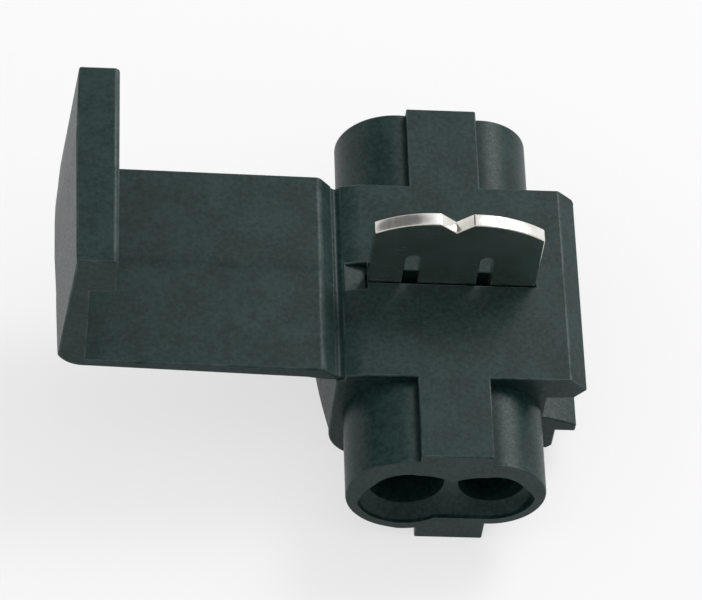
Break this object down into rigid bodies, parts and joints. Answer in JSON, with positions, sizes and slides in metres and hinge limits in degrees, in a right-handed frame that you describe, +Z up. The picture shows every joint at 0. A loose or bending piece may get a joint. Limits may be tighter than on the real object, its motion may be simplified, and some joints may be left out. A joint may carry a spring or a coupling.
{
  "type": "branch connector",
  "caption": "Moulded quick splice wire tap: side by side wire channels, a fold-over latching lid shown open, and a forked contact plate standing in its slot.",
  "frame": {"origin": "middle of the block along and across the channels, on the flat underside it stands on", "axes": "+X from the lid toward the catch, across the channels; +Y along the wires, away from the open mouths; +Z up, against the way the contact is pressed in"},
  "size_m": [0.0318, 0.0255, 0.0193],
  "materials": {
    "moulding": "moulded polypropylene, dark green-grey, faint grain",
    "plating": "bright tin plate over stamped brass"
  },
  "bodies": {
    "housing": {"body": "moulding", "lid_hinge": "moulding"},
    "lid": {"lid": "moulding"},
    "contact": {"contact": "plating"}
  },
  "joints": [
    {"name": "lid_fold", "type": "hinge", "parent": "housing", "child": "lid", "pos_m": [-0.0063, 0, 0.0091], "axis": [0, 1, 0], "range_deg": [0, 171]},
    {"name": "contact_press", "type": "slide", "parent": "housing", "child": "contact", "axis": [0, 0, -1], "range_m": [0, 0.006]}
  ],
  "couplings": [
    {"joint": "contact_press", "follows": "lid_fold", "m_per_rad": 0.00201}
  ]
}
